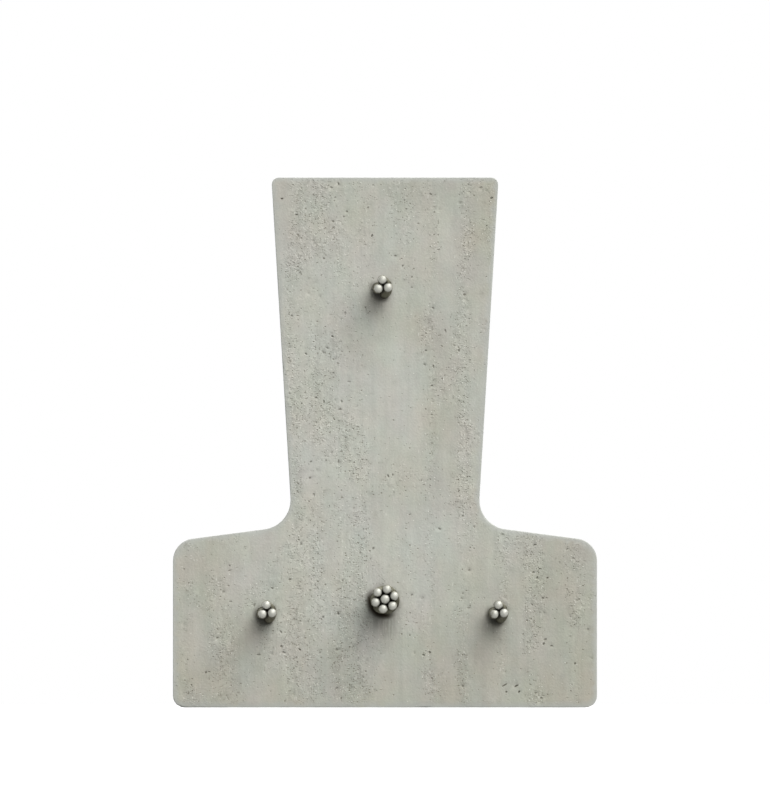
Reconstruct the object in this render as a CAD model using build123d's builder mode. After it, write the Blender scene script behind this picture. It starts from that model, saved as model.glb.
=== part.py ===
"""Prestressed concrete joist: an inverted T, cast in one piece round four twisted steel strands.

The joist stands on its foot. X runs across it, Y along it and Z up, and the origin is the
middle of its underside. The front end is the one at the low end of Y.
"""

import os
from math import cos, pi, radians, sin

from build123d import *

# Concrete section, in millimetres: widths and heights run to the sharp corners, before rounding
joist_length = 1200.0
joist_depth = 125.0
foot_width = 100.0
heel_height = 39.2
foot_height = 42.9
neck_width = 43.8
web_top_width = 53.6
base_radius = 2.8
heel_radius = 5.2
neck_radius = 7.0
top_edge_radius = 1.6

# Where the strands run through the section
side_strand_spacing = 54.6
side_strand_height = 22.2
top_strand_height = 98.8
middle_strand_height = 25.3
small_strand_shift = -0.5

# Small strand: three wires laid round each other
small_wire_diameter = 2.25
small_strand_lay = 80.0
small_tip_angle = 95.5
small_tip_lift = 0.6

# Large strand: six wires laid round a slightly thicker king wire
outer_wire_diameter = 2.22
king_wire_diameter = 2.4
large_strand_lay = 105.0
large_tip_angle = 18.6
large_tip_lift = 0.2

# The strands' ends outside the concrete, and the hairline gaps between wires and round them
stub_length = 12.0
tip_dome = 0.9
wire_gap = 0.02
bond_gap = 0.02

wires_in_small_strand = 3
outer_wires_in_large_strand = 6
lay_steps = 4

# Radii that the wires' centres lie on, and the straight reach of a stub up to its domed tip
small_orbit = (small_wire_diameter + wire_gap) / (2 * sin(pi / wires_in_small_strand))
large_orbit = (king_wire_diameter + outer_wire_diameter) / 2 + wire_gap
stub_reach = stub_length - tip_dome

# A wire's angle inside the concrete, where it runs straight, follows from its angle at the front tip
small_root_angle = small_tip_angle - 360 * stub_reach / small_strand_lay
large_root_angle = large_tip_angle - 360 * stub_reach / large_strand_lay

small_strand_seats = {
    "left": (small_strand_shift - side_strand_spacing / 2, side_strand_height),
    "right": (small_strand_shift + side_strand_spacing / 2, side_strand_height),
    "top": (small_strand_shift, top_strand_height),
}
middle_strand_seat = (0.0, middle_strand_height)


def strand_hole(seat, orbit, first_angle, wires, wire_diameter):
    """Sketch the hole that a strand leaves in the concrete: a lobe for each wire, open in the middle."""
    with Locations(seat):
        Circle(orbit)
        with PolarLocations(orbit, wires, start_angle=first_angle):
            Circle(wire_diameter / 2 + bond_gap)


def lay_centre(seat, orbit, angle, lay, lift, end, out):
    """Centre of a wire at a distance out from an end face. The lay is right-handed."""
    turned = radians(angle - end * 360 * out / lay)
    raised = lift * (out / stub_reach) ** 2
    return (
        seat[0] + orbit * cos(turned),
        end * (joist_length / 2 + out),
        seat[1] + orbit * sin(turned) + raised,
    )


def make_wire(name, seat, orbit, angle, wire_diameter, lay, lift):
    """One wire: straight through the concrete, laid in a twist where it stands out, with domed ends."""
    wire_radius = wire_diameter / 2
    with BuildPart() as wire:
        root = lay_centre(seat, orbit, angle, lay, lift, end=1, out=0)
        with BuildSketch(Plane(origin=root, x_dir=(1, 0, 0), z_dir=(0, -1, 0))):
            Circle(wire_radius)
        extrude(amount=joist_length)
        for end in (-1, 1):
            for step in range(lay_steps + 1):
                centre = lay_centre(seat, orbit, angle, lay, lift, end, stub_reach * step / lay_steps)
                with BuildSketch(Plane(origin=centre, x_dir=(1, 0, 0), z_dir=(0, end, 0))):
                    Circle(wire_radius)
            loft()
            with BuildSketch(Plane(origin=centre, x_dir=(1, 0, 0), z_dir=(0, 0, end))):
                with BuildLine():
                    Line((0, 0), (wire_radius, 0))
                    EllipticalCenterArc((0, 0), wire_radius, tip_dome, arc_size=90)
                    Line((0, tip_dome), (0, 0))
                make_face()
            revolve(axis=Axis(centre, (0, end, 0)))
    wire.part.label = name
    return wire.part


# Concrete body: half the section is drawn, its corners rounded, mirrored, and the strands' holes cut
with BuildPart() as concrete_body:
    with BuildSketch(Plane.XZ):
        with BuildLine():
            half = FilletPolyline(
                (0, 0),
                (foot_width / 2, 0),
                (foot_width / 2, heel_height),
                (neck_width / 2, foot_height),
                (web_top_width / 2, joist_depth),
                (0, joist_depth),
                radius=(base_radius, heel_radius, neck_radius, top_edge_radius),
            )
            mirror(half, about=Plane.YZ)
        make_face()
    extrude(amount=joist_length / 2, both=True)
    with BuildSketch(Plane.XZ):
        for seat in small_strand_seats.values():
            strand_hole(seat, small_orbit, small_root_angle, wires_in_small_strand, small_wire_diameter)
        strand_hole(
            middle_strand_seat,
            large_orbit,
            large_root_angle,
            outer_wires_in_large_strand,
            outer_wire_diameter,
        )
    extrude(amount=joist_length / 2, both=True, mode=Mode.SUBTRACT)
concrete_body.part.label = "concrete_body"
pieces = [concrete_body.part]

# Small strands: one in the web and one in each side of the foot
for strand, seat in small_strand_seats.items():
    for number in range(wires_in_small_strand):
        pieces.append(
            make_wire(
                f"{strand}_strand_wire_{number + 1}",
                seat,
                small_orbit,
                small_root_angle + 360 / wires_in_small_strand * number,
                small_wire_diameter,
                small_strand_lay,
                small_tip_lift,
            )
        )

# Large strand, in the middle of the foot
for number in range(outer_wires_in_large_strand):
    pieces.append(
        make_wire(
            f"middle_strand_wire_{number + 1}",
            middle_strand_seat,
            large_orbit,
            large_root_angle + 360 / outer_wires_in_large_strand * number,
            outer_wire_diameter,
            large_strand_lay,
            large_tip_lift,
        )
    )
pieces.append(
    make_wire(
        "middle_strand_king_wire",
        middle_strand_seat,
        0,
        0,
        king_wire_diameter,
        large_strand_lay,
        large_tip_lift,
    )
)

os.makedirs("parts", exist_ok=True)
for piece in pieces:
    export_step(piece, f"parts/{piece.label}.step")
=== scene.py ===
"""Prestressed concrete joist: the finish of its cast body and of the four twisted strands in it.

The joist runs along Y and stands on its foot. The camera looks square on at its front end.
"""

from math import atan2, ceil, cos, hypot, pi, radians, sin, tan
from random import Random

import bpy
import numpy as np
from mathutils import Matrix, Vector, noise
from mathutils.geometry import delaunay_2d_cdt


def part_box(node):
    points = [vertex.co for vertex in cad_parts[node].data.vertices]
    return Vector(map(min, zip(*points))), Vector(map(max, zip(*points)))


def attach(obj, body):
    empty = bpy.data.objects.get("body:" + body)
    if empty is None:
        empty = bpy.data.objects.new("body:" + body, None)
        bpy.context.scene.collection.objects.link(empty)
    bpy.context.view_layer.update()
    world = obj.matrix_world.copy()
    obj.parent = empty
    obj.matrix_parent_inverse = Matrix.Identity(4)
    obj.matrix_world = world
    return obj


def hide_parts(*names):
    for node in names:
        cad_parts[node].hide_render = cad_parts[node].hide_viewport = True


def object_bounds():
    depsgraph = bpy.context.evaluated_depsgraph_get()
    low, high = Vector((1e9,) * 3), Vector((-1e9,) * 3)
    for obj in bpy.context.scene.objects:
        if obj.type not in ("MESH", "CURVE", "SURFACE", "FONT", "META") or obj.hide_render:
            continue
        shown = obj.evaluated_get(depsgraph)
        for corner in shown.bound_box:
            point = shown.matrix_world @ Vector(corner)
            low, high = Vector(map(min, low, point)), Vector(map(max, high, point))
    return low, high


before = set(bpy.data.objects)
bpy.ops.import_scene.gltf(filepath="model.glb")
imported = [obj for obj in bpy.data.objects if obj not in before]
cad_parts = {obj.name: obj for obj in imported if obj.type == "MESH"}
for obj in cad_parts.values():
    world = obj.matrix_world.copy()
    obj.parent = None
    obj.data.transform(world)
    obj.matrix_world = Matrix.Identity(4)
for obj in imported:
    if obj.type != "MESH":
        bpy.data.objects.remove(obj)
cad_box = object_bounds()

mm = 0.001

# Photograph: the rows and the column of its pixels that place the section, from its top left corner
photo_width = 770
photo_height = 800
web_top_row = 177.5
foot_row = 707.5
middle_column = 385.0
camera_distance = 6.0
camera_height = 0.6 * mm
sensor_size = 36

# Light: the world's strength, and soft lamps, each with its name, the way to it, its strength and how
# wide it looks in degrees
world_strength = 0.02
lamps = [
    ("key", (3.2, -7.66, 5.57), 3.1, 66),
    ("raking", (4.8, -2.6, 8.4), 2.4, 44),
    ("left_fill", (-8, 7, 2.5), 3.4, 56),
    ("right_fill", (7, 9, 2.5), 1.5, 56),
]
floor_reach = 40.0
floor_drop = 0.02 * mm
floor_grey = 0.12
floor_shown = 0.6
floor_glow = 0.62

# Concrete section: overall sizes come from the frame, the others run to the corners before rounding
body_low, body_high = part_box("concrete_body")
joist_length = body_high.y - body_low.y
joist_depth = body_high.z
foot_width = body_high.x - body_low.x
heel_height = 39.2 * mm
foot_height = 42.9 * mm
neck_width = 43.8 * mm
web_top_width = 53.6 * mm
base_radius = 2.8 * mm
heel_radius = 5.2 * mm
neck_radius = 7.0 * mm
top_edge_radius = 1.6 * mm

# Strands: where they run, their wires and their lay
side_strand_spacing = 54.6 * mm
side_strand_height = 22.2 * mm
top_strand_height = 98.8 * mm
middle_strand_height = 25.3 * mm
small_strand_shift = -0.5 * mm
wire_gap = 0.02 * mm
bond_gap = 0.02 * mm
tip_dome = 0.9 * mm
small_strand = {
    "wires": 3,
    "diameter": 2.25 * mm,
    "orbit": (2.25 * mm + wire_gap) / (2 * sin(pi / 3)),
    "lay": 80 * mm,
    "tip_angle": 95.5,
    "tip_lift": 0.6 * mm,
}
large_strand = {
    "wires": 6,
    "diameter": 2.22 * mm,
    "king_diameter": 2.4 * mm,
    "orbit": (2.4 * mm + 2.22 * mm) / 2 + wire_gap,
    "lay": 105 * mm,
    "tip_angle": 18.6,
    "tip_lift": 0.2 * mm,
}
strands = {
    "top": (small_strand, (small_strand_shift, top_strand_height)),
    "left": (small_strand, (small_strand_shift - side_strand_spacing / 2, side_strand_height)),
    "right": (small_strand, (small_strand_shift + side_strand_spacing / 2, side_strand_height)),
    "middle": (large_strand, (0.0, middle_strand_height)),
}
stub_reach = cad_box[1].y - body_high.y - tip_dome

# Mesh of the concrete: spacings of its points
arc_step = 0.85 * mm
outline_step = 1.3 * mm
face_step = 1.2 * mm
side_step = 8.0 * mm
top_step = 4.2 * mm
underside_step = 9 * mm
row_share = 0.87
arris_rings = 4
arris_radius = 0.2 * mm
arris_seed = 41
chips_on_arris = 8
sharp_angle = 38
wire_sides = 32
lobe_sides = 32
lobe_cut_back = 10

# Pits: tries on an end face, area of a flat for each try, and half lengths below which a pit is plainer
end_pit_tries = 13000
end_face_seed = 7
flat_pit_area = 95 * mm * mm
tiny_pit = 0.3 * mm
small_pit = 0.75 * mm

# End faces: the vertical bands where they are pitted, as middle, half width and strength
pitted_bands = [
    (-46.0, 1.5, 0.45),
    (-38.0, 4.0, 0.60),
    (-21.6, 1.8, 1.00),
    (-16.4, 2.0, 0.70),
    (-8.5, 4.5, 0.85),
    (10.3, 1.2, 0.50),
    (18.3, 1.3, 1.00),
    (27.7, 1.2, 0.70),
    (34.8, 2.2, 0.85),
    (44.2, 1.8, 0.80),
]
# Soft stains on them, as middle across, middle up, half width, half height and warmth
face_stains = [
    (-7, 74, 20, 24, -1.2),
    (-18, 66, 10, 18, -0.5),
    (0, 38, 26, 12, -0.45),
    (0, 3, 70, 13, 0.7),
    (-46, 24, 14, 36, 0.8),
    (46, 18, 20, 36, 1.3),
    (-6, 14, 5, 8, -0.5),
    (0, 124, 34, 12, 0.5),
    (12, 78, 7, 26, 0.5),
    (20, 24, 14, 14, 0.35),
    (24, 112, 10, 20, 0.8),
    (-24, 116, 8, 10, 0.35),
    (6, 92, 8, 6, 0.55),
    (9, 17, 9, 7, 0.60),
    (-19, 16, 6, 9, 0.30),
]

# Larger marks of the front end, deep ones first: across, up, half length, half width and slant in degrees
deep_marks = 7
mark_length_share = 0.9
mark_width_share = 0.85
front_marks = [
    (28.2, 5.3, 0.75, 0.15, 32),
    (31.0, 5.1, 0.55, 0.19, 30),
    (28.6, 3.7, 0.24, 0.20, 0),
    (31.6, 3.7, 0.27, 0.22, 60),
    (44.8, 10.4, 0.26, 0.20, 80),
    (38.3, 30.6, 0.28, 0.20, 0),
    (-42.2, 8.3, 0.26, 0.17, 75),
    (-36.7, 32.3, 0.40, 0.16, 10),
    (-36.4, 25.0, 0.34, 0.18, -12),
    (-29.8, 12.5, 0.46, 0.22, 4),
    (-23.9, 13.0, 0.50, 0.20, -8),
    (-24.6, 17.9, 0.42, 0.16, -48),
    (-22.4, 30.2, 0.38, 0.26, 15),
    (35.0, 31.9, 0.40, 0.24, 0),
    (37.2, 25.8, 0.32, 0.22, -10),
    (39.3, 14.5, 0.42, 0.15, -6),
    (27.7, 40.8, 0.30, 0.18, 0),
    (35.3, 38.4, 0.34, 0.18, 14),
    (44.5, 35.2, 0.30, 0.16, -20),
    (18.3, 26.9, 0.28, 0.18, 60),
    (36.8, 2.2, 0.36, 0.20, 0),
    (9.6, 84.2, 0.28, 0.18, 0),
    (11.0, 75.9, 0.30, 0.17, 20),
    (11.0, 69.1, 0.26, 0.18, 0),
    (-8.5, 76.9, 0.46, 0.14, 0),
    (-10.6, 70.3, 0.44, 0.14, -4),
    (-17.5, 58.0, 0.30, 0.18, 30),
    (-11.8, 120.3, 0.26, 0.18, 0),
    (-9.0, 117.0, 0.28, 0.22, 0),
    (-12.3, 114.7, 0.36, 0.22, -10),
    (-9.7, 115.8, 0.24, 0.18, 0),
    (-2.8, 123.2, 0.30, 0.14, 0),
    (-4.0, 117.9, 0.26, 0.18, 40),
    (2.4, 106.5, 0.34, 0.24, -20),
    (4.2, 104.2, 0.30, 0.16, 50),
    (6.3, 101.5, 0.28, 0.16, 30),
    (6.3, 99.1, 0.26, 0.16, 0),
    (-14.4, 105.9, 0.24, 0.16, 0),
    (-20.1, 102.5, 0.30, 0.18, 0),
    (-24.3, 120.0, 0.32, 0.20, 0),
    (-20.9, 116.2, 0.34, 0.16, 0),
]


def unit(x, z):
    """The vector (x, z) at length one."""
    length = hypot(x, z)
    return x / length, z / length


# Section outline
def section_corners():
    """Corners of the section with their roundings, from the right of the underside round to its left."""
    right = [
        (foot_width / 2, 0, base_radius),
        (foot_width / 2, heel_height, heel_radius),
        (neck_width / 2, foot_height, neck_radius),
        (web_top_width / 2, joist_depth, top_edge_radius),
    ]
    return right + [(-x, z, radius) for x, z, radius in reversed(right)]


def rounded_corner(before, corner, after, radius):
    """Points along the arc that rounds a corner."""
    way_in = unit(corner[0] - before[0], corner[1] - before[1])
    way_out = unit(after[0] - corner[0], after[1] - corner[1])
    turn = atan2(
        way_in[0] * way_out[1] - way_in[1] * way_out[0],
        way_in[0] * way_out[0] + way_in[1] * way_out[1],
    )
    side = 1 if turn > 0 else -1
    reach = radius * tan(abs(turn) / 2)
    start = (corner[0] - way_in[0] * reach, corner[1] - way_in[1] * reach)
    centre = (start[0] - way_in[1] * radius * side, start[1] + way_in[0] * radius * side)
    first = atan2(start[1] - centre[1], start[0] - centre[0])
    steps = max(4, ceil(abs(turn) * radius / arc_step))
    angles = [first + turn * i / steps for i in range(steps + 1)]
    return [(centre[0] + radius * cos(angle), centre[1] + radius * sin(angle)) for angle in angles]


def section_sides():
    """The section's arcs and flats in order, each a name and its points. Neighbours share an end point."""
    corners = section_corners()
    names = [
        "right_heel", "right_ledge", "right_web", "web_top",
        "left_web", "left_ledge", "left_heel", "underside",
    ]
    arcs = [
        rounded_corner(corners[i - 1][:2], corner[:2], corners[(i + 1) % len(corners)][:2], corner[2])
        for i, corner in enumerate(corners)
    ]
    sides = []
    for i, arc in enumerate(arcs):
        sides.append(("arc", arc))
        start, stop = arc[-1], arcs[(i + 1) % len(arcs)][0]
        length = hypot(stop[0] - start[0], stop[1] - start[1])
        steps = ceil(length / outline_step)
        flat = [
            (start[0] + (stop[0] - start[0]) * k / steps, start[1] + (stop[1] - start[1]) * k / steps)
            for k in range(steps + 1)
        ]
        sides.append((names[i], flat))
    return sides


def root_angle(strand):
    """Angle of a strand's first wire inside the concrete, in degrees, from its angle at the front tip."""
    return strand["tip_angle"] - 360 * stub_reach / strand["lay"]


def strand_lobes(strand, seat):
    """Outline of the hole that a strand fills in the concrete: one arc for each outer wire."""
    count = strand["wires"]
    radius = strand["diameter"] / 2 + bond_gap
    half_arc = 90 - lobe_cut_back + 180 / count
    points = []
    for wire in range(count):
        angle = root_angle(strand) + 360 / count * wire
        middle = (
            seat[0] + strand["orbit"] * cos(radians(angle)),
            seat[1] + strand["orbit"] * sin(radians(angle)),
        )
        steps = round(lobe_sides * half_arc / 180)
        for i in range(steps):
            turned = radians(angle - half_arc + 2 * half_arc * i / (steps - 1))
            points.append((middle[0] + radius * cos(turned), middle[1] + radius * sin(turned)))
    return points


def distance_to_lines(points, ring):
    """Distance of each point from a closed ring of straight lines."""
    points = np.asarray(points, float)
    starts = np.asarray(ring, float)
    spans = np.roll(starts, -1, axis=0) - starts
    nearest = np.full(len(points), np.inf)
    for start, span in zip(starts, spans):
        offset = points - start
        along = np.clip(offset @ span / (span @ span), 0, 1)
        nearest = np.minimum(nearest, np.hypot(*(offset - along[:, None] * span).T))
    return nearest


def inside_ring(points, ring):
    """Whether each point lies inside a closed ring."""
    points = np.asarray(points, float)
    starts = np.asarray(ring, float)
    stops = np.roll(starts, -1, axis=0)
    inside = np.zeros(len(points), bool)
    for start, stop in zip(starts, stops):
        crosses = (start[1] > points[:, 1]) != (stop[1] > points[:, 1])
        if stop[1] != start[1]:
            at = start[0] + (points[:, 1] - start[1]) * (stop[0] - start[0]) / (stop[1] - start[1])
            inside ^= crosses & (points[:, 0] < at)
    return inside


# Relief and colour of the concrete, as values at a point
def clouds(x, y, z, size, octaves=3, seed=0):
    """Soft noise from about -1 to 1, with features of that size."""
    place = Vector((x, y, z)) / size + Vector((1.37, 2.43, 3.59)) * seed
    return noise.fractal(place, 1.0, 2.0, octaves, noise_basis="PERLIN_ORIGINAL") * 1.25


def smooth(value, low, high):
    """Smooth step from 0 at low to 1 at high."""
    share = min(1, max(0, (value - low) / (high - low)))
    return share * share * (3 - 2 * share)


def face_relief(x, z, end):
    """How far an end face is sunk at a point, by the unevenness of its casting."""
    waves = clouds(x, 0, z, 14 * mm, seed=3.3 + end) * 0.05
    waves += clouds(x, 0, z * 0.55, 3.2 * mm, seed=6.1 + end) * 0.02
    return (0.08 + waves) * mm


def pitting(x, z, end):
    """How pitted an end face is at a point, from 0 to 1: in vertical bands that come and go."""
    across = x * -end / mm + clouds(0, 0, z, 22 * mm, seed=2.7) * 1.2
    band = max(
        strength * (1 - smooth(abs(across - middle), half_width * 0.45, half_width * 1.5 + 0.4))
        for middle, half_width, strength in pitted_bands
    )
    come_and_go = smooth(clouds(x, 0, z * 0.6, 8 * mm, seed=4.4 + end), -0.5, 0.3)
    patch = smooth(clouds(x, 0, z * 0.7, 13 * mm, seed=8.2 + end), 0.0, 0.6)
    return min(1, 0.05 + band * (0.3 + 0.7 * come_and_go) + 0.45 * patch)


def stain(x, z, end):
    """Warmth of an end face's colour at a point: below 0 cool and pale, above 0 warm and dark."""
    warmth = clouds(x, 0, z, 30 * mm, seed=5.2 + end) * 0.2
    warmth += clouds(x, 0, z * 0.7, 9 * mm, seed=9.3 + end) * 0.28
    for middle_x, middle_z, half_x, half_z, strength in face_stains:
        away = hypot((x * -end / mm - middle_x) / half_x, (z / mm - middle_z) / half_z)
        warmth += strength * (1 - smooth(away, 0.15, 1.25))
    return warmth


def wall_relief(x, y, z):
    """How far the long faces are sunk at a point: slow waves of the mould, and a rough struck top."""
    from_end = smooth(joist_length / 2 - abs(y), 0, 30 * mm)
    waves = (clouds(x, y * 0.3, z, 40 * mm) + 1) * 0.07
    near_top = smooth(z, joist_depth - 1.2 * mm, joist_depth - 0.1 * mm)
    top_share = near_top * smooth(-abs(x), -web_top_width / 2, -18 * mm)
    rough = max(0, clouds(x, y, z, 9 * mm, 4) + 0.55) * 0.55
    rough += max(0, clouds(x * 2.2, y * 0.25, z, 16 * mm)) * 0.5
    return (waves + top_share * rough) * from_end * mm


class Casting:
    """The concrete's mesh as it is put together: points with their marks, and faces with their map."""

    def __init__(self):
        self.points = []
        self.marks = []
        self.faces = []
        self.finishes = []
        self.maps = []

    def point(self, x, y, z, hollow_shade=0.0, pitted=0.0, warmth=0.0, rim=0.0):
        self.points.append((x, y, z))
        self.marks.append((hollow_shade, pitted, warmth, rim))
        return len(self.points) - 1

    def face(self, corners, finish, places):
        self.faces.append(corners)
        self.finishes.append(finish)
        self.maps.append(places)


# Pits
def scattered(rng, tries, spot, dense, size, room, taken_first=()):
    """Pits at random places, kept apart: (u, v, half length, half width, slant). dense is the chance."""
    cell = 3 * mm
    taken = {}
    found = []
    for pit in taken_first:
        taken.setdefault((int(pit[0] // cell), int(pit[1] // cell)), []).append(pit[:3])
        found.append(pit)
    for _ in range(tries):
        u, v = spot(rng)
        chance = rng.random()
        radius = size(rng)
        stretch = rng.uniform(1.0, 1.45)
        slant = rng.uniform(0, pi)
        if chance > dense(u, v) or not room(u, v, radius * stretch):
            continue
        column, row = int(u // cell), int(v // cell)
        near = [
            other
            for i in (-1, 0, 1)
            for j in (-1, 0, 1)
            for other in taken.get((column + i, row + j), ())
        ]
        if any(hypot(u - x, v - y) < (radius * stretch + r) * 1.35 + 0.1 * mm for x, y, r in near):
            continue
        taken.setdefault((column, row), []).append((u, v, radius * stretch))
        found.append((u, v, radius * stretch, radius / stretch, slant))
    return found


def pit_rings(rng, u, v, long, wide, slant, dark=1.0, sharp=False):
    """Points of one pit, from its lip to its bottom: (u, v, sunk, and how much painted shade it gets there).
    A sharp one gets painted shade from its rim down.
    """
    depth = wide * rng.uniform(0.8, 1.3)
    lip = 0.09 * mm + 0.15 * wide
    outer = (long + lip, wide + lip, 0.0, 0.0)
    if sharp:
        sides = max(8, ceil(4.4 * (long + wide) / max(0.16 * mm, wide * 0.7)))
        rings = [outer, (long, wide, 0.15, 0.85), (long * 0.6, wide * 0.6, 0.8, 1.0)]
    elif long < tiny_pit:
        sides = 6
        rings = [(long, wide, 0.0, 0.15)]
    elif long < small_pit:
        sides = 6
        rings = [outer, (long * 0.8, wide * 0.8, 0.5, 0.9)]
    else:
        sides = 8
        rings = [outer, (long, wide, 0.15, 0.7), (long * 0.65, wide * 0.65, 0.8, 1.0)]
    points = []
    for half_long, half_wide, sunk, hollow_shade in rings:
        for i in range(sides):
            angle = 2 * pi * (i + 0.5 * (0 < sunk < 0.6)) / sides
            far = 1 + rng.uniform(-0.22, 0.22) * (sunk > 0)
            across, up = half_long * far * cos(angle), half_wide * far * sin(angle)
            points.append((
                u + across * cos(slant) - up * sin(slant),
                v + across * sin(slant) + up * cos(slant),
                depth * sunk,
                hollow_shade * dark,
            ))
    points.append((u, v, depth, dark))
    return points


def clear_of_pits(points, pits):
    """Which points of a plain grid lie outside every pit."""
    points = np.asarray(points, float)
    keep = np.ones(len(points), bool)
    order = np.argsort(points[:, 0])
    across = points[order, 0]
    for u, v, long, _, _ in pits:
        reach = long * 1.3 + 0.12 * mm
        low, high = np.searchsorted(across, (u - reach, u + reach))
        near = order[low:high]
        keep[near] &= np.hypot(points[near, 0] - u, points[near, 1] - v) > reach
    return keep


def triangles_between(points, rings):
    """Delaunay triangles of points, given in metres, with the rings' lines kept as edges."""
    edges = [(ring[i - 1], ring[i]) for ring in rings for i in range(len(ring))]
    made = delaunay_2d_cdt([Vector(p) / mm for p in points], edges, [], 0, 1e-7)
    source = [origins[0] for origins in made[3]]
    return [tuple(source[i] for i in corners) for corners in made[2]]


def fill_face(casting, spots, members, loops, edge, holes, finish, flipped, on_map):
    """Triangles of a face, inside its edge and outside its holes. on_map gives a spot's place on the map."""
    triangles = triangles_between(spots, loops)
    centres = [tuple(sum(spots[i][axis] for i in corners) / 3 for axis in (0, 1)) for corners in triangles]
    wanted = inside_ring(centres, edge)
    for hole in holes:
        wanted &= ~inside_ring(centres, hole)
    for triangle, used in zip(triangles, wanted):
        if used:
            corners = triangle[::-1] if flipped else triangle
            casting.face([members[i] for i in corners], finish, [on_map(*spots[i]) for i in corners])


# Concrete body, and where its faces lie on its map
map_density = 4.05 / (1024 * mm)
wall_map_left = 0.415
channel_map_left = 0.405
channel_map_width = 0.004
channel_map_step = 0.0008


def face_place(x, z, end):
    """Place on the piece's map of a point of an end face."""
    return (
        0.004 + (x + foot_width / 2 + mm) * map_density,
        (0.5 if end > 0 else 0.0) + (z + mm) * map_density,
    )


def side_place(round_about, y, girth):
    """Place on the map of a point of the long faces, unrolled."""
    return (
        wall_map_left + (0.995 - wall_map_left) * round_about / girth,
        0.004 + 0.985 * (y - body_low.y) / joist_length,
    )


def arris_at(round_about, end, chips):
    """Radius of the edge round an end face: nearly even, with a few small chips."""
    radius = arris_radius * (1 + 0.35 * clouds(round_about, 5 * end, 0, 9 * mm))
    for place, width, depth in chips:
        radius += depth * (1 - smooth(abs(round_about - place), width * 0.3, width))
    return radius


def make_casting():
    """The whole concrete body: two end faces, eight flats with pits, eight arcs and the channels."""
    casting = Casting()
    sides = section_sides()
    outline, starts = [], []
    for _, points in sides:
        starts.append(len(outline))
        outline.extend(points[:-1])
    count = len(outline)
    ways = [
        unit(
            outline[(k + 1) % count][0] - outline[k - 1][0],
            outline[(k + 1) % count][1] - outline[k - 1][1],
        )
        for k in range(count)
    ]
    normals = [(way[1], -way[0]) for way in ways]
    round_about = [0.0]
    for k in range(count):
        here, following = outline[k], outline[(k + 1) % count]
        round_about.append(round_about[-1] + hypot(following[0] - here[0], following[1] - here[1]))
    girth = round_about[-1]

    # Edge rings at both ends, from the face round to the long faces
    rng = Random(arris_seed)
    rings, arrises = {}, {}
    for end in (-1, 1):
        chips = [
            (rng.uniform(0, girth), rng.uniform(0.8, 1.8) * mm, rng.uniform(0.1, 0.3) * mm)
            for _ in range(chips_on_arris)
        ]
        arrises[end] = [arris_at(round_about[k], end, chips) for k in range(count)]
        rings[end] = []
        for j in range(arris_rings):
            swung = pi / 2 * j / (arris_rings - 1)
            ring = []
            for k, ((x, z), (nx, nz)) in enumerate(zip(outline, normals)):
                radius = arrises[end][k]
                wall = wall_relief(x, end * joist_length / 2, z) * sin(swung)
                inset = radius * (1 - sin(swung)) + wall
                inward = radius * (1 - cos(swung))
                face_x, face_z = x - nx * inset, z - nz * inset
                inward += face_relief(face_x, face_z, end) * cos(swung)
                ring.append(casting.point(
                    face_x, end * (joist_length / 2 - inward), face_z,
                    pitted=pitting(x, z, end) * 0.6, warmth=stain(x, z, end), rim=1.0,
                ))
            rings[end].append(ring)

    # The rounded edge itself
    for end in (-1, 1):
        for j in range(arris_rings - 1):
            for k in range(count):
                after = (k + 1) % count
                corners = [
                    rings[end][j][k], rings[end][j][after], rings[end][j + 1][after], rings[end][j + 1][k],
                ]
                places = []
                for kk, jj in ((k, j), (after, j), (after, j + 1), (k, j + 1)):
                    out = arrises[end][kk] * (pi / 2 * jj / (arris_rings - 1) - 1)
                    places.append(face_place(
                        outline[kk][0] + normals[kk][0] * out, outline[kk][1] + normals[kk][1] * out, end,
                    ))
                if end < 0:
                    corners.reverse()
                    places.reverse()
                casting.face(corners, "end", places)

    holes = {name: strand_lobes(strand, seat) for name, (strand, seat) in strands.items()}
    hole_rings = {
        end: make_end_face(casting, end, outline, normals, rings[end][0], arrises[end], holes)
        for end in (-1, 1)
    }
    make_channels(casting, holes, hole_rings)
    make_walls(casting, sides, starts, outline, normals, round_about, girth, rings)
    return casting


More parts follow.
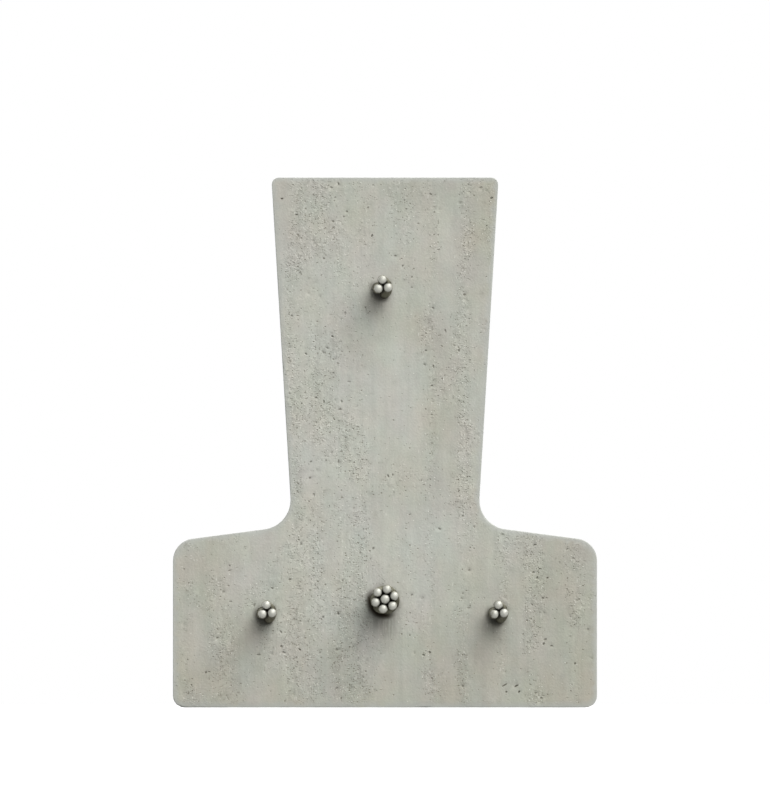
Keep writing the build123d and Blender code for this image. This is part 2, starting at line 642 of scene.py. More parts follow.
def make_end_face(casting, end, outline, normals, ring, arrises, holes):
    """An end face: a fine grid of uneven points with real pits, cut out for the strands."""
    rng = Random(end_face_seed + end)
    edge = [
        (x - nx * radius, z - nz * radius)
        for (x, z), (nx, nz), radius in zip(outline, normals, arrises)
    ]
    places = list(edge)
    members = list(ring)
    loops = [list(range(len(ring)))]
    hole_members = {}
    for name, hole in holes.items():
        loops.append(list(range(len(places), len(places) + len(hole))))
        hole_members[name] = []
        for x, z in hole:
            places.append((x, z))
            # The rim of each strand's hole gets a little painted shade, as in a crevice
            index = casting.point(
                x, end * (joist_length / 2 - face_relief(x, z, end)), z,
                pitted=0.3, warmth=stain(x, z, end), hollow_shade=0.45,
            )
            members.append(index)
            hole_members[name].append(index)

    seats = [(seat, strand["orbit"] + strand["diameter"] / 2) for strand, seat in strands.values()]

    def room(u, v, radius):
        width = foot_width / 2 if v < heel_height else neck_width / 2 + 5 * mm
        if abs(u) > width - radius - 0.8 * mm or not 0.8 * mm + radius < v < joist_depth - radius - 0.8 * mm:
            return False
        return all(hypot(u - x, v - z) > reach + radius + 0.5 * mm for (x, z), reach in seats)

    marks = [
        (u * mm, v * mm, long * mark_length_share * mm, wide * mark_width_share * mm, radians(slant))
        for u, v, long, wide, slant in front_marks
    ]
    pits = scattered(
        rng, end_pit_tries,
        spot=lambda r: (r.uniform(-foot_width / 2, foot_width / 2), r.uniform(0, joist_depth)),
        dense=lambda u, v: 0.015 + 0.5 * pitting(u, v, end) ** 1.6,
        size=lambda r: min(0.28, 0.095 * (1 - r.random()) ** -0.33) * mm,
        room=room,
        taken_first=marks if end < 0 else (),
    )
    far = distance_to_lines([pit[:2] for pit in pits], edge)
    inside = inside_ring([pit[:2] for pit in pits], edge)
    pits = [pit for pit, gap, within in zip(pits, far, inside) if within and gap > pit[2] * 1.4 + 0.25 * mm]

    grid = []
    rows = ceil(joist_depth / (face_step * row_share))
    columns = ceil(foot_width / face_step)
    for row in range(rows):
        for column in range(columns + 1):
            jitter_x, jitter_z = rng.uniform(-0.25, 0.25), rng.uniform(-0.25, 0.25)
            grid.append((
                (column + 0.5 * (row % 2) + jitter_x) * face_step - foot_width / 2,
                (row + 0.5 + jitter_z) * face_step * row_share,
            ))
    grid = np.array(grid)
    keep = inside_ring(grid, edge) & (distance_to_lines(grid, edge) > 0.5 * face_step)
    for hole in holes.values():
        keep &= ~inside_ring(grid, hole) & (distance_to_lines(grid, hole) > 0.3 * face_step)
    keep &= clear_of_pits(grid, pits)

    for x, z in grid[keep]:
        places.append((x, z))
        members.append(casting.point(
            x, end * (joist_length / 2 - face_relief(x, z, end)), z,
            pitted=pitting(x, z, end), warmth=stain(x, z, end),
        ))
    for pit in pits:
        own = end < 0 and pit in marks
        # How much painted shade each pit gets: full for the deep marks of the front end, less for the rest
        dark = 1.0 if own and pit in marks[:deep_marks] else rng.uniform(0.4, 0.75)
        for x, z, sunk, hollow_shade in pit_rings(rng, *pit, dark=dark, sharp=own):
            places.append((x, z))
            members.append(casting.point(
                x, end * (joist_length / 2 - face_relief(x, z, end) - sunk), z,
                hollow_shade=hollow_shade, pitted=pitting(x, z, end), warmth=stain(x, z, end),
            ))

    fill_face(
        casting, places, members, loops, edge, holes.values(), "end",
        flipped=end > 0, on_map=lambda x, z: face_place(x, z, end),
    )
    return hole_members


def make_channels(casting, holes, hole_rings):
    """The strands' channels through the concrete, which their wires fill. They share a strip of the map."""
    left, right = channel_map_left, channel_map_left + channel_map_width
    for name, hole in holes.items():
        front, back = hole_rings[-1][name], hole_rings[1][name]
        for i in range(len(hole)):
            after = (i + 1) % len(hole)
            low, high = channel_map_step * i, channel_map_step * (i + 1)
            casting.face(
                [front[i], front[after], back[after], back[i]],
                "end",
                [(left, low), (left, high), (right, high), (right, low)],
            )


def make_walls(casting, sides, starts, outline, normals, round_about, girth, rings):
    """The long faces: strips for the arcs, and a grid with air pits for each flat."""
    half = joist_length / 2
    depths = [1.6 * mm, 3.6 * mm, 6.5 * mm, 10.5 * mm]
    inner = joist_length - 2 * depths[-1]
    steps = round(inner / side_step)
    rows = (
        [-half + d for d in depths[:-1]]
        + [-half + depths[-1] + inner * i / steps for i in range(steps + 1)]
        + [half - d for d in reversed(depths[:-1])]
    )
    count = len(outline)
    columns = {}

    def wall_point(x, y, z, normal, sunk=0.0, hollow_shade=0.0):
        inset = wall_relief(x, y, z) + sunk
        return casting.point(
            x - normal[0] * inset, y, z - normal[1] * inset,
            hollow_shade=hollow_shade, pitted=0.5, warmth=clouds(x, y * 0.35, z, 60 * mm) * 0.9,
        )

    def column(k):
        """Points along the joist at a point of the outline, made once."""
        k %= count
        if k not in columns:
            x, z = outline[k]
            points = [wall_point(x, y, z, normals[k]) for y in rows]
            columns[k] = [rings[-1][-1][k], *points, rings[1][-1][k]]
        return columns[k]

    def height(index):
        return casting.points[index][1]

    for (name, points), start in zip(sides, starts):
        stop = start + len(points) - 1
        if name == "arc":
            for k in range(start, stop):
                left, right = column(k), column(k + 1)
                for i in range(len(rows) + 1):
                    corners = [left[i], left[i + 1], right[i + 1], right[i]]
                    spots = [round_about[k], round_about[k], round_about[k + 1], round_about[k + 1]]
                    casting.face(corners, "mould", [
                        side_place(s, height(c), girth) for s, c in zip(spots, corners)
                    ])
            continue
        make_flat(
            casting, name, points, start, round_about, girth, rings,
            column(start), column(stop), rows, wall_point,
        )


def make_flat(casting, name, points, start, round_about, girth, rings, left, right, rows, wall_point):
    """One flat of the long faces, between two arcs."""
    count = len(rings[1][0])
    half = joist_length / 2
    first, last = points[0], points[-1]
    way = unit(last[0] - first[0], last[1] - first[1])
    normal = (way[1], -way[0])
    width = hypot(last[0] - first[0], last[1] - first[1])
    step = {"web_top": top_step, "underside": underside_step}.get(name, side_step)
    many = {"web_top": 0.5, "underside": 0.25}.get(name, 1.0)
    rng = Random(name)

    # Its outline: along the front end, up the right side, back along the other end and down the left
    run = [round_about[start + i] - round_about[start] for i in range(len(points))]
    front = [rings[-1][-1][(start + i) % count] for i in range(len(points))]
    back = [rings[1][-1][(start + i) % count] for i in range(len(points))]
    edge = [(index, (u, casting.points[index][1])) for index, u in zip(front, run)]
    edge += [(index, (width, y)) for index, y in zip(right[1:], rows)]
    edge += reversed([(index, (u, casting.points[index][1])) for index, u in zip(back, run)])
    edge += reversed([(index, (0.0, y)) for index, y in zip(left[1:], rows)])
    members = [index for index, _ in edge]
    boundary = [spot for _, spot in edge]
    spots = list(boundary)

    def room(u, v, radius):
        clear = radius * 1.5
        return clear + 1.2 * mm < u < width - clear - 1.2 * mm and abs(v) < half - clear - 2.5 * mm

    pits = scattered(
        rng, int(width * joist_length * many / flat_pit_area),
        spot=lambda r: (r.uniform(0, width), r.uniform(-half, half)),
        dense=lambda u, v: 0.2 + 0.8 * smooth(clouds(u, v * 0.5, start, 45 * mm), -0.2, 0.5),
        size=lambda r: min(1.5, 0.36 * (1 - r.random()) ** -0.5) * mm,
        room=room,
    )
    grid = []
    y = -half + 1.5 * mm
    while y < half - 1.4 * mm:
        from_end = half - abs(y)
        pitch = min(step, 1.1 * mm + 0.4 * from_end)
        across = max(1, round(width / pitch))
        shift = 0.25 if len(grid) % 2 else -0.25
        for i in range(across):
            u = (i + 0.5 + shift * 0.8 + rng.uniform(-0.12, 0.12)) * width / across
            if 0.35 * pitch < u < width - 0.35 * pitch:
                grid.append((u, y + rng.uniform(-0.18, 0.18) * pitch))
        y += pitch * 0.9
    grid = np.array(grid)
    for u, v in grid[clear_of_pits(grid, pits)]:
        spots.append((u, v))
        members.append(wall_point(first[0] + way[0] * u, v, first[1] + way[1] * u, normal))
    for pit in pits:
        # The wall pits get painted shade too, at a random strength
        for u, v, sunk, hollow_shade in pit_rings(rng, *pit, dark=rng.uniform(0.35, 0.75)):
            spots.append((u, v))
            members.append(wall_point(first[0] + way[0] * u, v, first[1] + way[1] * u, normal, sunk, hollow_shade))

    fill_face(
        casting, spots, members, [list(range(len(boundary)))], boundary, (),
        "top" if name == "web_top" else "mould",
        flipped=True, on_map=lambda u, v: side_place(round_about[start] + u, v, girth),
    )


def mesh_object(name, points, faces, materials, finishes=None):
    """A smooth mesh object of the scene."""
    mesh = bpy.data.meshes.new(name)
    mesh.from_pydata(points, [], faces)
    for material in materials:
        mesh.materials.append(material)
    if finishes:
        mesh.polygons.foreach_set("material_index", finishes)
    mesh.polygons.foreach_set("use_smooth", [True] * len(faces))
    piece = bpy.data.objects.new(name, mesh)
    bpy.context.scene.collection.objects.link(piece)
    return piece


def write_mark(mesh, name, values):
    """Keeps a value for each point of a mesh, which its material reads by name."""
    mesh.attributes.new(name, "FLOAT", "POINT").data.foreach_set("value", values)


def write_map(mesh, places):
    """Keeps the place on the piece's map of each corner of its faces."""
    layer = mesh.uv_layers.new(name="OFBake")
    layer.data.foreach_set("uv", [value for place in places for value in place])


def make_concrete(materials):
    """The concrete piece, in place of the plain body."""
    casting = make_casting()
    order = list(materials)
    piece = mesh_object(
        "concrete_casting", casting.points, casting.faces, list(materials.values()),
        [order.index(finish) for finish in casting.finishes],
    )
    mesh = piece.data
    for i, name in enumerate(("hollow_shade", "pitted", "warmth", "rim")):
        write_mark(mesh, name, [mark[i] for mark in casting.marks])
    write_map(mesh, [place for places in casting.maps for place in places])
    mesh.set_sharp_from_angle(angle=radians(sharp_angle))
    mesh.validate()
    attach(piece, "root")
    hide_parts("concrete_body")


# Strands
def wire_line(strand, seat, orbit, angle):
    """A wire's centre line from tip to tip: (x, y, z, share of its radius, cut, place on its map, rise)."""
    dome_steps, lay_steps = 8, 12
    line = []
    for end in (-1, 1):
        stub = []
        for i in range(lay_steps + 1):
            stub.append((stub_reach * i / lay_steps, 1.0, 0.0))
        for i in range(1, dome_steps):
            swung = pi / 2 * i / dome_steps
            stub.append((stub_reach + tip_dome * sin(swung), cos(swung), smooth(-cos(swung), -0.98, -0.86)))
        stub.append((stub_reach + tip_dome, 0.0, 1.0))
        placed = []
        for i, (out, share, cut) in enumerate(stub):
            laid = min(out, stub_reach)
            turned = radians(angle - end * 360 * laid / strand["lay"])
            raised = strand["tip_lift"] * (laid / stub_reach) ** 2
            placed.append((
                seat[0] + orbit * cos(turned),
                end * (joist_length / 2 + out),
                seat[1] + orbit * sin(turned) + raised,
                share,
                cut,
                0.5 + end * (0.04 + 0.455 * i / (len(stub) - 1)),
                raised,
            ))
        line = list(reversed(placed)) if end < 0 else line + placed
    return line


def make_wire(name, node, strand, seat, orbit, angle, diameter, material):
    """One wire: straight in the concrete, twisted where it stands out, domed at its cut ends."""
    points, faces, cuts, inward_shade, places = [], [], [], [], []
    rings = []
    for x, y, z, share, cut, along, raised in wire_line(strand, seat, orbit, angle):
        first = len(points)
        sides = wire_sides if share else 1
        for i in range(sides):
            swung = 2 * pi * i / wire_sides
            reach = diameter / 2 * share
            points.append((x + reach * cos(swung), y, z + reach * sin(swung)))
            cuts.append(cut)
            # How much painted shade a point gets between the wires: where its wire's side faces the strand's
            # middle, all round on the king wire, fading out over the domes
            inward = 1.0
            if orbit:
                inward = ((seat[0] - x) * cos(swung) + (seat[1] + raised - z) * sin(swung)) / orbit
            inward_shade.append(smooth(inward, 0.05, 0.6) * smooth(share, 0.72, 0.98))
        rings.append((first, sides, along))
    for (before, before_sides, low), (after, after_sides, high) in zip(rings, rings[1:]):
        for i in range(wire_sides):
            following = (i + 1) % wire_sides
            left, right = 0.005 + 0.99 * i / wire_sides, 0.005 + 0.99 * (i + 1) / wire_sides
            middle = (left + right) / 2
            if before_sides == 1:
                faces.append((before, after + i, after + following))
                places += [(middle, low), (left, high), (right, high)]
            elif after_sides == 1:
                faces.append((before + i, after, before + following))
                places += [(left, low), (middle, high), (right, low)]
            else:
                faces.append((before + i, after + i, after + following, before + following))
                places += [(left, low), (left, high), (right, high), (right, low)]
    piece = mesh_object(name, points, faces, [material])
    write_mark(piece.data, "cut", cuts)
    write_mark(piece.data, "shade_between_wires", inward_shade)
    write_map(piece.data, places)
    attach(piece, "root")
    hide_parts(node)


def make_strands(material):
    """All wires, each in place of its own node."""
    for place, (strand, seat) in strands.items():
        for wire in range(strand["wires"]):
            make_wire(
                f"{place}_wire_{wire + 1}", f"{place}_strand_wire_{wire + 1}", strand, seat,
                strand["orbit"], root_angle(strand) + 360 / strand["wires"] * wire,
                strand["diameter"], material,
            )
        if "king_diameter" in strand:
            make_wire(
                f"{place}_king_wire", f"{place}_strand_king_wire", strand, seat,
                0, 0, strand["king_diameter"], material,
            )


# Materials
def paint(red, green, blue):
    """A colour given as it shows on screen, from 0 to 255, in Blender's linear values."""
    def linear(value):
        share = value / 255
        return share / 12.92 if share <= 0.04045 else ((share + 0.055) / 1.055) ** 2.4
    return linear(red), linear(green), linear(blue), 1.0


class Tree:
    """Adds nodes to a shader tree, with their inputs set or linked in the same call."""

    def __init__(self, tree):
        self.tree = tree

    def put(self, value, socket):
        """Links a socket to another node's output, or sets it to a value."""
        if isinstance(value, bpy.types.NodeSocket):
            self.tree.links.new(value, socket)
        else:
            socket.default_value = value

    def add(self, kind, inputs=None, **settings):
        node = self.tree.nodes.new(kind)
        for name, value in settings.items():
            setattr(node, name, value)
        for name, value in (inputs or {}).items():
            self.put(value, node.inputs[name])
        return node

    def maths(self, operation, first, second=0.0):
        return self.add("ShaderNodeMath", {0: first, 1: second}, operation=operation).outputs[0]

    def times(self, first, second):
        return self.maths("MULTIPLY", first, second)

    def plus(self, first, second):
        return self.maths("ADD", first, second)

    def vector(self, operation, first, second):
        return self.add("ShaderNodeVectorMath", {0: first, 1: second}, operation=operation).outputs[0]

    def ranged(self, value, low, high, to_low=0.0, to_high=1.0):
        return self.add(
            "ShaderNodeMapRange",
            {"Value": value, "From Min": low, "From Max": high, "To Min": to_low, "To Max": to_high},
            interpolation_type="SMOOTHSTEP",
        ).outputs["Result"]

    def mixed(self, factor, first, second, blend="MIX"):
        return self.add(
            "ShaderNodeMix", {0: factor, 6: first, 7: second},
            data_type="RGBA", blend_type=blend, clamp_result=False,
        ).outputs[2]

    def mark(self, name):
        return self.add("ShaderNodeAttribute", attribute_name=name).outputs["Fac"]

    def group(self, group, **inputs):
        node = self.add("ShaderNodeGroup", node_tree=group)
        for name, value in inputs.items():
            self.put(value, node.inputs[name.capitalize()])
        return node


def new_group(name, inputs, outputs):
    """An empty shader group: (tree, its inputs, its output node). Inputs come with their usual values."""
    group = bpy.data.node_groups.new(name, "ShaderNodeTree")
    for label, value in inputs.items():
        kind = {0: "Float", 3: "Vector", 4: "Color"}[len(value) if isinstance(value, tuple) else 0]
        socket = group.interface.new_socket(name=label, in_out="INPUT", socket_type=f"NodeSocket{kind}")
        socket.default_value = value
    for label in outputs:
        kind = "Color" if label == "Colour" else "Float"
        group.interface.new_socket(name=label, in_out="OUTPUT", socket_type=f"NodeSocket{kind}")
    tree = Tree(group)
    return tree, tree.add("NodeGroupInput").outputs, tree.add("NodeGroupOutput")


def clouds_group():
    """Soft uneven patches of a given size, from 0 to 1."""
    tree, given, out = new_group(
        "Soft clouds",
        {"Place": (0, 0, 0), "Size": (10, 10, 10), "Low": 0.3, "High": 0.7},
        ["Amount"],
    )
    place = tree.vector("DIVIDE", given["Place"], given["Size"])
    turned = tree.add(
        "ShaderNodeVectorRotate", {"Vector": place, "Rotation": (0.6, 0.5, 0.9)}, rotation_type="EULER_XYZ",
    )
    clouds = tree.add(
        "ShaderNodeTexNoise", {"Vector": turned.outputs[0], "Scale": 1.0, "Detail": 3.0, "Roughness": 0.55},
    )
    amount = tree.ranged(clouds.outputs["Fac"], given["Low"], given["High"])
    tree.put(amount, out.inputs["Amount"])
    return tree.tree


def soft_clouds(tree, clouds, place, size, low=0.25, high=0.75):
    """Places the clouds' group in a tree and gives its amount."""
    return tree.group(clouds, place=place, size=size, low=low, high=high).outputs["Amount"]


def pores_group():
    """Tiny round pores or specks, one in some of the cells of a given size."""
    tree, given, out = new_group(
        "Fine pores",
        {"Place": (0, 0, 0), "Size": (1, 1, 1), "Share": 0.3, "Width": 0.35},
        ["Mask"],
    )
    place = tree.vector("DIVIDE", given["Place"], given["Size"])
    cells = tree.add("ShaderNodeTexVoronoi", {"Vector": place, "Scale": 1.0, "Randomness": 1.0})
    chance = tree.add("ShaderNodeSeparateColor", {"Color": cells.outputs["Color"]})
    chosen = tree.maths("LESS_THAN", chance.outputs["Red"], given["Share"])
    reach = tree.times(given["Width"], tree.ranged(chance.outputs["Green"], 0.0, 1.0, 0.55, 1.15))
    inside = tree.ranged(cells.outputs["Distance"], reach, tree.times(reach, 0.45))
    tree.put(tree.times(chosen, inside), out.inputs["Mask"])
    return tree.tree


def rubbed_group(clouds):
    """A colour rubbed paler along an edge, unevenly."""
    tree, given, out = new_group(
        "Rubbed edge",
        {
            "Colour": (0.5, 0.5, 0.5, 1), "Rubbed": (0.8, 0.8, 0.8, 1),
            "Place": (0, 0, 0), "Edge": 0.0, "Strength": 0.5,
        },
        ["Colour", "Mask"],
    )
    uneven = soft_clouds(tree, clouds, given["Place"], (2.5, 2.5, 2.5), 0.1, 0.5)
    mask = tree.times(tree.times(given["Edge"], uneven), given["Strength"])
    tree.put(tree.mixed(mask, given["Colour"], given["Rubbed"]), out.inputs["Colour"])
    tree.put(mask, out.inputs["Mask"])
    return tree.tree


def dust_group(clouds):
    """A colour under a thin film of dust, more on what faces up."""
    tree, given, out = new_group(
        "Cement dust",
        {"Colour": (0.5, 0.5, 0.5, 1), "Dust": (0.5, 0.5, 0.5, 1), "Place": (0, 0, 0), "Amount": 0.3},
        ["Colour"],
    )
    normal = tree.add("ShaderNodeNewGeometry").outputs["Normal"]
    facing = tree.add("ShaderNodeSeparateXYZ", {"Vector": normal})
    upward = tree.ranged(facing.outputs["Z"], -0.3, 1.0, 0.35, 1.0)
    patches = soft_clouds(tree, clouds, given["Place"], (1.6, 1.6, 1.6), 0.35, 0.65)
    mask = tree.times(tree.times(upward, patches), given["Amount"])
    tree.put(tree.mixed(mask, given["Colour"], given["Dust"]), out.inputs["Colour"])
    return tree.tree


def strand_shade_group(clouds):
    """Painted shade in the concrete close round a strand, leaning down and to the left where its shadow
    falls, with a faint streaked darkening running down from there.
    """
    tree, given, out = new_group(
        "Painted shade round a strand",
        {"Place": (0, 0, 0), "Middle": (0, 0, 0), "Reach": 3.0, "Amount": 0.5},
        ["Mask"],
    )
    offset = tree.vector("MULTIPLY", tree.vector("SUBTRACT", given["Place"], given["Middle"]), (1, 0, 1))
    length = tree.add("ShaderNodeVectorMath", {0: offset}, operation="LENGTH").outputs["Value"]
    away = tree.maths("SUBTRACT", length, given["Reach"])
    parts = tree.add("ShaderNodeSeparateXYZ", {"Vector": offset}).outputs
    beside = tree.maths("DIVIDE", tree.maths("ABSOLUTE", parts["X"]), given["Reach"])
    below = tree.maths("DIVIDE", parts["Z"], given["Reach"])
    leaning = tree.maths("DIVIDE", tree.plus(parts["X"], parts["Z"]), given["Reach"])
    thinned = tree.maths("DIVIDE", away, given["Reach"])
    close = tree.ranged(thinned, 0.06, 0.5, 1.0, 0.0)
    close = tree.times(close, tree.ranged(leaning, -1.1, 0.3, 1.0, 0.0))
    streaks = soft_clouds(tree, clouds, given["Place"], (0.5, 1.0, 4.0), 0.3, 0.7)
    run = tree.ranged(beside, 0.3, 1.3, 1.0, 0.0)
    run = tree.times(run, tree.ranged(below, -4.0, -0.8, 0.0, 1.0))
    run = tree.times(run, tree.maths("LESS_THAN", below, 0.0))
    run = tree.times(run, tree.ranged(streaks, 0, 1, 0.1, 0.38))
    mask = tree.times(tree.maths("MAXIMUM", close, run), given["Amount"])
    tree.put(mask, out.inputs["Mask"])
    return tree.tree


def place_in_mm(tree, shift=(0, 0, 0)):
    """Place on the object in millimetres, moved so that two finishes differ."""
    place = tree.add("ShaderNodeTexCoord").outputs["Object"]
    return tree.vector("ADD", tree.vector("MULTIPLY", place, (1000, 1000, 1000)), shift)


def empty_tree(owner):
    """The shader tree of a material or a world, emptied."""
    owner.use_nodes = True
    owner.node_tree.nodes.clear()
    return Tree(owner.node_tree)


def new_material(name):
    """A dull material with one Principled shader: (material, its tree, its shader)."""
    material = bpy.data.materials.new(name)
    tree = empty_tree(material)
    shader = tree.add("ShaderNodeBsdfPrincipled", {"Specular IOR Level": plain_gloss})
    tree.add("ShaderNodeOutputMaterial", {"Surface": shader.outputs["BSDF"]})
    return material, tree, shader


def raise_surface(tree, shader, relief):
    """Bumps a material's surface by a relief in millimetres."""
    bump = tree.add("ShaderNodeBump", {"Height": relief, "Strength": 1.0, "Distance": mm})
    tree.put(bump.outputs["Normal"], shader.inputs["Normal"])


# Colours of the concrete and of the wires
cool_grey = paint(188, 189, 181)
warm_grey = paint(153, 150, 133)
blue_cast = paint(176, 179, 176)
olive_cast = paint(181, 178, 160)
rose_cast = paint(183, 175, 168)
green_cast = paint(171, 180, 167)
# Painted shade in pits and at the rims of the strands' holes
hollow_shade_grey = paint(70, 66, 53)
# Painted shade in fine pores and small dents
pore_shade_grey = paint(118, 115, 101)
pale_speck = paint(208, 208, 199)
edge_grey = paint(175, 177, 171)
# Painted shade in the concrete round the strands
strand_shade_brown = paint(52, 46, 34)
drawn_dark = paint(92, 90, 74)
drawn_light = paint(118, 116, 100)
drawn_dull = paint(132, 129, 112)
cut_steel = paint(164, 164, 156)
steel_speck = paint(110, 108, 96)
# Painted shade on the wires where they meet the concrete
root_shade = paint(36, 34, 26)
# Painted shade between the wires
gap_shade = paint(24, 22, 16)
plain_gloss = 0.06
# How far out from the concrete face the painted shade on the wires reaches, in millimetres
root_shade_reach = 7


def concrete_material(
    name, groups, streak_size, line_size, patch_size, shift, grain=1.0, dust=0.0, painted_shade=(),
):
    """Cast concrete: clouded grey, faint streaks, sand grain, and fine pores darkened with painted shade
    where it is pitted; also painted shade in its pits and round any strands given.
    """
    material, tree, shader = new_material(name)
    clouds, pores = groups["clouds"], groups["pores"]
    place = place_in_mm(tree, shift)
    pitted = tree.mark("pitted")
    hollow_shade = tree.mark("hollow_shade")

    def cloud(size, low=0.25, high=0.75, apart=0):
        moved = tree.vector("ADD", place, (apart, apart * 1.7, apart * 2.3)) if apart else place
        return soft_clouds(tree, clouds, moved, size, low, high)

    colour = tree.mixed(tree.ranged(tree.mark("warmth"), -0.75, 1.6), cool_grey, warm_grey)
    patches = cloud(patch_size)
    colour = tree.mixed(0.38, colour, tree.mixed(patches, blue_cast, olive_cast))
    tinges = cloud(tuple(0.7 * size for size in patch_size), apart=101)
    colour = tree.mixed(0.32, colour, tree.mixed(tinges, rose_cast, green_cast))

    streaks = cloud(streak_size, apart=13)
    lines = cloud(line_size, apart=29)
    sand = cloud((0.5, 0.5, 0.5))
    worn = cloud((0.8, 0.8, 0.7), 0.38, 0.62, apart=47)
    rough = tree.times(tree.plus(worn, cloud((0.45, 0.45, 0.4), 0.35, 0.65, apart=59)), 0.5)
    tone = tree.plus(tree.ranged(streaks, 0, 1, 0.975, 1.025), tree.ranged(lines, 0, 1, -0.012, 0.012))
    tone = tree.plus(tone, tree.ranged(sand, 0, 1, -0.02, 0.02))
    blotches = cloud(tuple(0.3 * size for size in patch_size), apart=67)
    tone = tree.plus(tone, tree.ranged(blotches, 0, 1, -0.027, 0.027))
    spots = tree.ranged(cloud(tuple(0.11 * size for size in patch_size), apart=149), 0, 1, -0.037, 0.037)
    tone = tree.plus(tone, tree.times(spots, tree.ranged(pitted, 0, 0.8, 0.25, 1.0)))
    broken = tree.times(pitted, cloud((1.8, 1.8, 2.2), 0.4, 0.6, apart=83))
    uneven = tree.times(tree.ranged(rough, 0.1, 0.9, -0.09, 0.09), broken)
    tone = tree.plus(tone, uneven)
    lightness = tree.add("ShaderNodeCombineXYZ", {0: tone, 1: tone, 2: tone}).outputs[0]
    colour = tree.mixed(1.0, colour, lightness, "MULTIPLY")

    share = tree.ranged(pitted, 0.1, 1.0, 0.035, 0.55)

    def specks(size, width, apart, part=1.0):
        moved = tree.vector("ADD", place, (apart, apart * 0.3, apart * 0.7))
        chosen = tree.times(share, part)
        return tree.group(pores, place=moved, size=size, share=chosen, width=width).outputs["Mask"]

    coarse = specks((0.95, 0.95, 0.8), 0.26, 17, 0.6)
    fine = specks((0.5, 0.5, 0.42), 0.34, 41)
    pale = specks((0.7, 0.7, 0.55), 0.34, 71)
    dashes = specks((2.0, 1.0, 0.5), 0.3, 131, 0.8)
    cuts = specks((0.45, 1.0, 1.8), 0.3, 173, 0.6)
    holes = tree.maths("MAXIMUM", coarse, fine)
    # Pale specks and cuts, then painted shade in the dashes, the pores and the pits
    for mask, strength, speck in (
        (cuts, 0.55, pale_speck),
        (dashes, 0.5, pore_shade_grey),
        (pale, 0.8, pale_speck),
        (holes, 0.62, pore_shade_grey),
        (hollow_shade, 0.72, hollow_shade_grey),
    ):
        colour = tree.mixed(tree.times(mask, strength), colour, speck)
    colour = tree.group(
        groups["rubbed"], colour=colour, rubbed=edge_grey, place=place, edge=tree.mark("rim"), strength=0.9,
    ).outputs["Colour"]
    # Painted shade round each strand, leaning down and left, with a faint streaked darkening running down
    # below it
    for (strand, seat), amount in painted_shade:
        reach = (strand["orbit"] + strand["diameter"] / 2) / mm
        shaded = tree.group(
            groups["painted_shade"], place=place, middle=(seat[0] / mm, 0, seat[1] / mm), reach=reach, amount=amount,
        ).outputs["Mask"]
        colour = tree.mixed(shaded, colour, strand_shade_brown)
    if dust:
        colour = tree.group(
            groups["dust"], colour=colour, dust=pale_speck, place=place, amount=dust,
        ).outputs["Colour"]
    tree.put(colour, shader.inputs["Base Color"])

    roughness = tree.plus(tree.ranged(sand, 0, 1, 0.84, 0.93), tree.times(holes, 0.05))
    tree.put(roughness, shader.inputs["Roughness"])

    relief = tree.times(sand, 0.02 * grain)
    for part, height in (
        (streaks, 0.015),
        (tree.times(rough, broken), 0.075),
        (coarse, -0.07),
        (fine, -0.05),
        (pale, 0.04),
        (dashes, -0.04),
    ):
        relief = tree.plus(relief, tree.times(part, height))
    raise_surface(tree, shader, relief)
    return material


def steel_material(groups):
    """Drawn steel wire, dull and dark along its length and bright at its cut ends, with painted shade near
    the concrete face and between the wires.
    """
    material, tree, shader = new_material("drawn_wire_steel")
    clouds, pores = groups["clouds"], groups["pores"]
    place = place_in_mm(tree)
    drawn = soft_clouds(tree, clouds, place, (0.35, 6.0, 0.35))
    dull = soft_clouds(tree, clouds, place, (1.3, 2.0, 1.3), 0.3, 0.7)
    colour = tree.mixed(drawn, drawn_dark, drawn_light)
    colour = tree.mixed(tree.ranged(dull, 0, 1, 0.0, 0.3), colour, drawn_dull)
    colour = tree.group(
        groups["rubbed"], colour=colour, rubbed=cut_steel, place=place, edge=tree.mark("cut"), strength=1.0,
    )
    ground = colour.outputs["Mask"]
    specks = tree.group(pores, place=place, size=(0.3, 0.3, 0.3), share=0.3, width=0.3).outputs["Mask"]
    colour = tree.mixed(tree.times(specks, 0.25), colour.outputs["Colour"], steel_speck)
    colour = tree.group(
        groups["dust"], colour=colour, dust=pale_speck, place=place, amount=0.12,
    ).outputs["Colour"]
    # Painted shade on the wires, darkest where they meet the concrete face
    from_middle = tree.maths("ABSOLUTE", tree.add("ShaderNodeSeparateXYZ", {"Vector": place}).outputs["Y"])
    face = joist_length / 2 / mm
    painted_shade = tree.ranged(from_middle, face, face + root_shade_reach, 0.85, 0.0)
    colour = tree.mixed(painted_shade, colour, root_shade)
    # Painted shade between the wires, on their sides that face the strand's middle
    between = tree.times(tree.mark("shade_between_wires"), 0.92)
    colour = tree.mixed(between, colour, gap_shade)
    tree.put(colour, shader.inputs["Base Color"])
    tree.put(tree.ranged(ground, 0, 1, 0.02, 0.38), shader.inputs["Metallic"])
    tree.put(tree.ranged(ground, 0, 1, 0.65, 0.4), shader.inputs["Roughness"])
    relief = tree.plus(tree.times(drawn, 0.012), tree.times(specks, -0.015))
    raise_surface(tree, shader, relief)
    return material


def seen_directly(tree):
    """1 for what the camera sees, also through glass or in a gloss, and 0 for light on other surfaces."""
    path = tree.add("ShaderNodeLightPath").outputs
    seen = tree.maths("MAXIMUM", path["Is Camera Ray"], path["Is Glossy Ray"])
    return tree.maths("MAXIMUM", seen, path["Is Transmission Ray"])


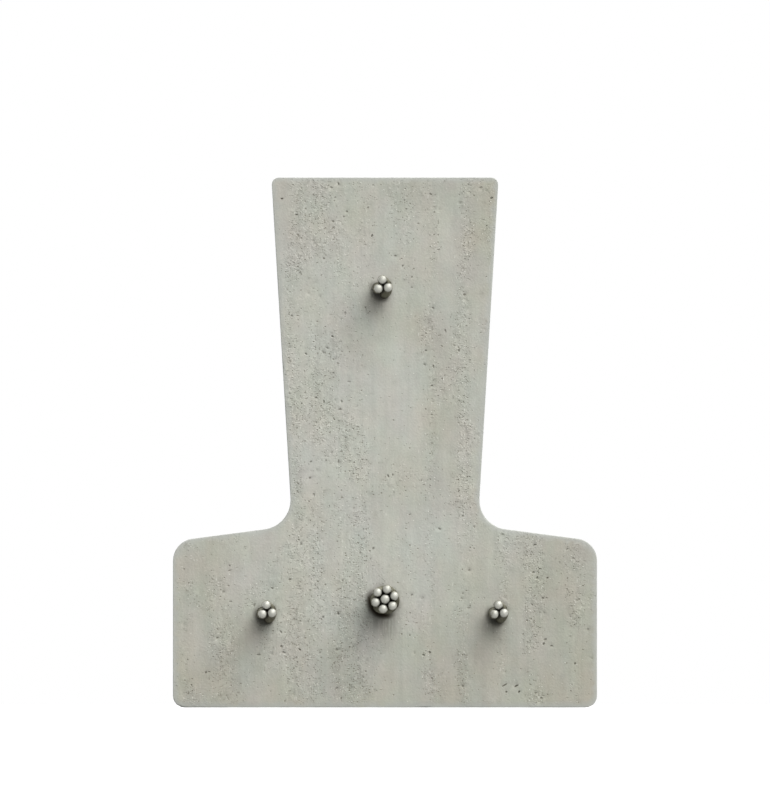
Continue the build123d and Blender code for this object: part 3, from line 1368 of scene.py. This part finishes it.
# Surroundings
def make_floor():
    """A plain pale floor, level under the foot. It shows white, darker only in the joist's shadow."""
    corners = [(x * floor_reach, y * floor_reach, 0) for x, y in ((-1, -1), (1, -1), (1, 1), (-1, 1))]
    material = bpy.data.materials.new("pale_floor")
    tree = empty_tree(material)
    lit = tree.add("ShaderNodeBsdfDiffuse", {"Color": (floor_grey, floor_grey, floor_grey, 1)})
    shown = tree.add("ShaderNodeBsdfDiffuse", {"Color": (floor_shown, floor_shown, floor_shown, 1)})
    glow = tree.add("ShaderNodeEmission", {"Color": (1, 1, 1, 1), "Strength": floor_glow})
    both = tree.add("ShaderNodeAddShader", {0: shown.outputs[0], 1: glow.outputs[0]})
    surface = tree.add(
        "ShaderNodeMixShader", {0: seen_directly(tree), 1: lit.outputs[0], 2: both.outputs[0]},
    )
    tree.add("ShaderNodeOutputMaterial", {"Surface": surface.outputs[0]})
    floor = mesh_object("floor", corners, [(0, 1, 2, 3)], [material])
    floor.location.z = -floor_drop


def make_world():
    """Even light from all round, and white behind the object."""
    world = bpy.data.worlds.new("studio")
    tree = empty_tree(world)
    dim = tree.add("ShaderNodeBackground", {"Color": (1, 1, 1, 1), "Strength": world_strength})
    white = tree.add("ShaderNodeBackground", {"Color": (1, 1, 1, 1), "Strength": 1.0})
    surface = tree.add(
        "ShaderNodeMixShader", {0: seen_directly(tree), 1: dim.outputs[0], 2: white.outputs[0]},
    )
    tree.add("ShaderNodeOutputWorld", {"Surface": surface.outputs[0]})
    bpy.context.scene.world = world


def make_lamp(name, towards, strength, width):
    """A soft distant lamp. towards points from the object to it; width is how wide it looks, in degrees."""
    data = bpy.data.lights.new(name, "SUN")
    data.energy = strength
    data.angle = radians(width)
    lamp = bpy.data.objects.new(name, data)
    lamp.rotation_euler = Vector(towards).to_track_quat("Z", "Y").to_euler()
    bpy.context.scene.collection.objects.link(lamp)


def make_camera():
    """Camera square on to the front end face, with the photograph's framing."""
    pixel = joist_depth / (foot_row - web_top_row)
    front = body_low.y
    middle_x = (photo_width / 2 - middle_column) * pixel
    target = Vector((middle_x, front, (foot_row - photo_height / 2) * pixel))
    place = Vector((target.x, front - camera_distance, camera_height))
    data = bpy.data.cameras.new("camera")
    data.sensor_width = sensor_size
    data.lens = sensor_size * (target - place).length / (photo_height * pixel)
    data.clip_start = 0.1
    data.clip_end = 100
    camera = bpy.data.objects.new("camera", data)
    camera.location = place
    camera.rotation_euler = (target - place).to_track_quat("-Z", "Y").to_euler()
    bpy.context.scene.collection.objects.link(camera)
    bpy.context.scene.camera = camera


# Joist and its surroundings
clouds_nodes = clouds_group()
groups = {
    "clouds": clouds_nodes,
    "pores": pores_group(),
    "rubbed": rubbed_group(clouds_nodes),
    "dust": dust_group(clouds_nodes),
    "painted_shade": strand_shade_group(clouds_nodes),
}
# How strong the painted shade round each strand is: strongest round the middle one
strand_shade_amounts = [(strands[name], 0.97 if name == "middle" else 0.34) for name in strands]
concrete_finishes = {
    "end": concrete_material(
        "cast_end_concrete", groups, streak_size=(1.6, 1.6, 26), line_size=(16, 16, 0.5),
        patch_size=(9, 9, 14), shift=(0, 0, 0), painted_shade=strand_shade_amounts,
    ),
    "mould": concrete_material(
        "mould_face_concrete", groups, streak_size=(1.8, 60, 1.8), line_size=(12, 60, 12),
        patch_size=(14, 40, 14), shift=(310, 70, 50),
    ),
    "top": concrete_material(
        "struck_top_concrete", groups, streak_size=(2.5, 14, 2.5), line_size=(3, 3, 3),
        patch_size=(11, 22, 11), shift=(90, 10, 170), grain=3.0, dust=0.3,
    ),
}
make_concrete(concrete_finishes)
make_strands(steel_material(groups))
make_floor()
make_world()
for lamp in lamps:
    make_lamp(*lamp)
make_camera()
bpy.context.scene.view_settings.view_transform = "Standard"
